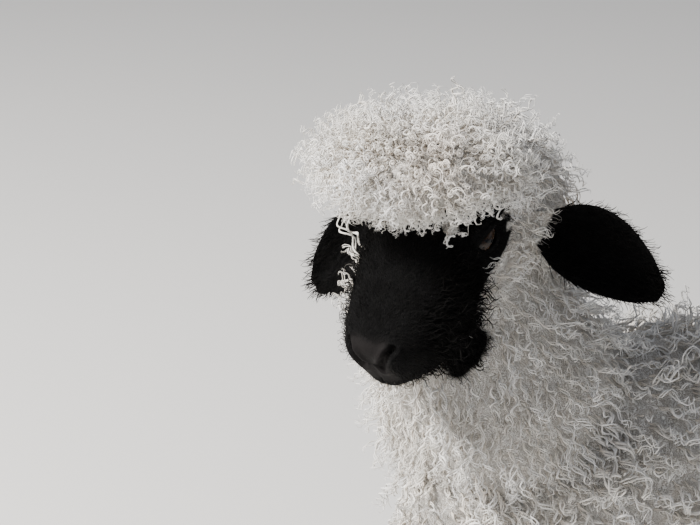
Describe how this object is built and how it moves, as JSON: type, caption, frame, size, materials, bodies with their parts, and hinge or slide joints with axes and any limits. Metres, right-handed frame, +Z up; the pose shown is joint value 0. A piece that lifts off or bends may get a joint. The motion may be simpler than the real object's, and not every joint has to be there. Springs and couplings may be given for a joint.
{
  "type": "valais blacknose lamb",
  "caption": "Life-size still model of a curly-fleeced lamb with a black face, lying with folded legs, its neck raised and its head turned to the left.",
  "frame": {"origin": "middle of the flat under the belly, at floor level", "axes": "+Z up; the body lies along Y with the chest and head at -Y; the lamb's left side is +X"},
  "size_m": [0.3149, 0.6642, 0.4604],
  "materials": {
    "wool": "curly cream-white lamb's fleece",
    "black_fur": "short dense black fur",
    "horn": "black claw horn",
    "eye": "wet dark brown eye"
  },
  "bodies": {
    "root": {"eye_left": "eye", "eye_right": "eye", "ear_left": "black_fur", "ear_right": "black_fur", "face": "black_fur", "crown": "wool", "neck": "wool", "claw_outer_foreleg_left": "horn", "claw_inner_foreleg_left": "horn", "foreleg_left": "wool", "claw_outer_foreleg_right": "horn", "claw_inner_foreleg_right": "horn", "foreleg_right": "wool", "claw_outer_hindleg_left": "horn", "claw_inner_hindleg_left": "horn", "hindleg_left": "wool", "claw_outer_hindleg_right": "horn", "claw_inner_hindleg_right": "horn", "hindleg_right": "wool", "tail": "wool", "torso": "wool"}
  },
  "joints": []
}
